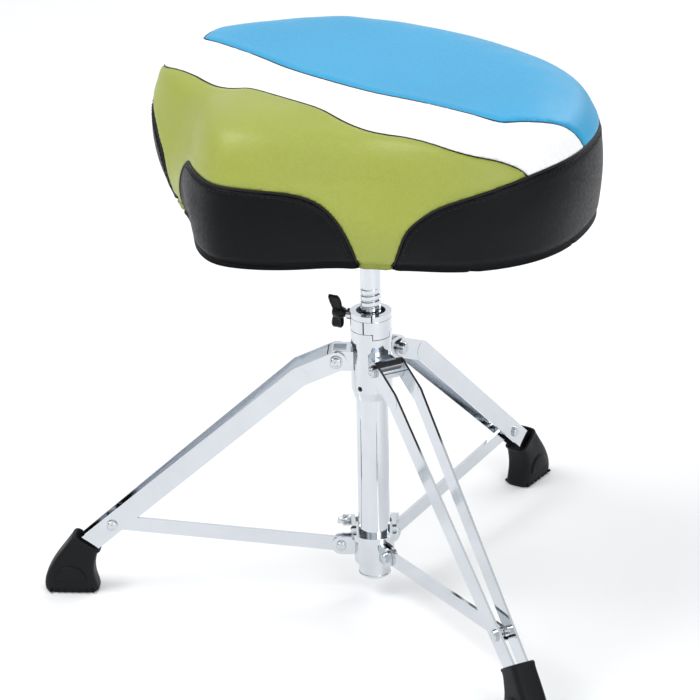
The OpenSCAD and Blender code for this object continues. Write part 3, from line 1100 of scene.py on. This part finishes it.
# ------------------------------------------------------------------ carried-over nodes

BEVELS = {"chrome_tube": 0.4, "chrome_casting": 0.7, "chrome_strip": 0.5, "chrome_fastener": 0.35,
          "dark_steel": 0.3, "bracket_paint": 0.8, "boot_rubber": 0.8, "plywood": 0.6}


def dress_nodes():
    """Materials and soft edges for the CAD pieces that stay in view."""
    slots = {entry["node"]: entry["material_slot"] for entry in frame["record"]["subparts"]}
    for node, obj in frame["nodes"].items():
        slot_name = slots[node]
        material = MATERIALS[slot_name]
        if not obj.data.materials:
            obj.data.materials.append(material)
        for k in range(len(obj.material_slots)):
            obj.material_slots[k].material = material
        if slot_name in BEVELS:
            bevel(obj, BEVELS[slot_name] * MM)


dress_nodes()

# ------------------------------------------------------------------ floor, light and camera


def stage_floor():
    """A pale flat floor under the throne."""
    size = 6.0
    corners = [(-size, -size, 0), (size, -size, 0), (size, size, 0), (-size, size, 0)]
    floor = mesh_object("floor", corners, [(0, 1, 2, 3)])
    s = Shader("floor_paint", Roughness=0.6, IOR=1.4)
    where = s.place()
    s.link(s.ramp(s.noise(where, 3.0), (0.89, 0.89, 0.895), (0.91, 0.91, 0.915)), "Base Color")
    floor.data.materials.append(s.material)


def area_light(name, place, target, size, power):
    """A rectangular lamp that faces its target."""
    light = bpy.data.lights.new(name, "AREA")
    light.shape = "RECTANGLE"
    light.size, light.size_y = size
    light.energy = power
    obj = bpy.data.objects.new(name, light)
    obj.location = place
    obj.rotation_euler = (Vector(target) - Vector(place)).to_track_quat("-Z", "Y").to_euler()
    bpy.context.scene.collection.objects.link(obj)


def studio_world():
    """A white tent, with soft darker gaps to the left and right that draw dark edges on the chrome."""
    world = bpy.data.worlds.new("studio")
    bpy.context.scene.world = world
    bpy.context.scene.view_settings.view_transform = "Standard"
    world.use_nodes = True
    tree = world.node_tree
    back = tree.nodes["Background"]
    coords = tree.nodes.new("ShaderNodeTexCoord")
    turn = tree.nodes.new("ShaderNodeMapping")
    turn.inputs["Rotation"].default_value = (0.0, 0.0, -math.radians(CAMERA["azimuth"]))
    split = tree.nodes.new("ShaderNodeSeparateXYZ")
    size = tree.nodes.new("ShaderNodeMath")
    size.operation = "ABSOLUTE"
    ramp = tree.nodes.new("ShaderNodeValToRGB")
    tree.links.new(coords.outputs["Generated"], turn.inputs["Vector"])
    tree.links.new(turn.outputs["Vector"], split.inputs["Vector"])
    tree.links.new(split.outputs["X"], size.inputs[0])
    tree.links.new(size.outputs["Value"], ramp.inputs["Fac"])
    rays = tree.nodes.new("ShaderNodeLightPath")
    seen = tree.nodes.new("ShaderNodeMix")
    seen.data_type = "RGBA"
    seen.inputs["B"].default_value = (0.95, 0.95, 0.95, 1.0)
    tree.links.new(rays.outputs["Is Camera Ray"], seen.inputs["Factor"])
    tree.links.new(ramp.outputs["Color"], seen.inputs["A"])
    tree.links.new(seen.outputs["Result"], back.inputs["Color"])
    stops = ramp.color_ramp
    stops.elements[0].position = 0.0
    stops.elements[0].color = (0.97, 0.985, 1.0, 1.0)
    stops.elements[1].position = 1.0
    stops.elements[1].color = (0.9, 0.93, 1.0, 1.0)
    for place, level in ((0.3, 0.9), (0.42, 0.34), (0.52, 0.85), (0.66, 0.9), (0.76, 0.16), (0.92, 0.12)):
        stop = stops.elements.new(place)
        stop.color = (0.96 * level, 0.98 * level, level, 1.0)
    back.inputs["Strength"].default_value = 1.0


def lights():
    """Key lamp at the left front, fill at the right and rim from behind."""
    middle = (0, 0, 0.35)
    area_light("key", (-1.2, -1.6, 2.6), middle, (1.6, 1.6), 55)
    area_light("fill", (2.4, -0.6, 1.4), middle, (0.9, 2.2), 22)
    area_light("rim", (0.2, 2.4, 1.8), middle, (2.2, 0.8), 26)


CAMERA = {"azimuth": 43.062, "away": 2.7426, "height": 1.4329, "yaw": -0.4115, "pitch": 23.3525,
          "roll": -1.0659, "focal": 3244.04}
PICTURE = 700


def make_camera():
    """Camera at the photograph's place: pitch down, small yaw off the post and a little roll."""
    yaw, pitch, roll = (math.radians(CAMERA[k]) for k in ("yaw", "pitch", "roll"))
    ahead = Vector((math.sin(yaw) * math.cos(pitch), math.cos(yaw) * math.cos(pitch), -math.sin(pitch)))
    right = Vector((math.cos(yaw), -math.sin(yaw), 0))
    up = right.cross(ahead)
    right, up = (right * math.cos(roll) + up * math.sin(roll), up * math.cos(roll) - right * math.sin(roll))
    matrix = Matrix((right, up, -ahead)).transposed().to_4x4()
    matrix.translation = Vector((0, -CAMERA["away"], CAMERA["height"]))
    data = bpy.data.cameras.new("camera")
    data.sensor_width = 36.0
    data.lens = CAMERA["focal"] * data.sensor_width / PICTURE
    camera = bpy.data.objects.new("camera", data)
    camera.matrix_world = Matrix.Rotation(math.radians(CAMERA["azimuth"]), 4, "Z") @ matrix
    bpy.context.scene.collection.objects.link(camera)
    bpy.context.scene.camera = camera


stage_floor()
studio_world()
lights()
make_camera()
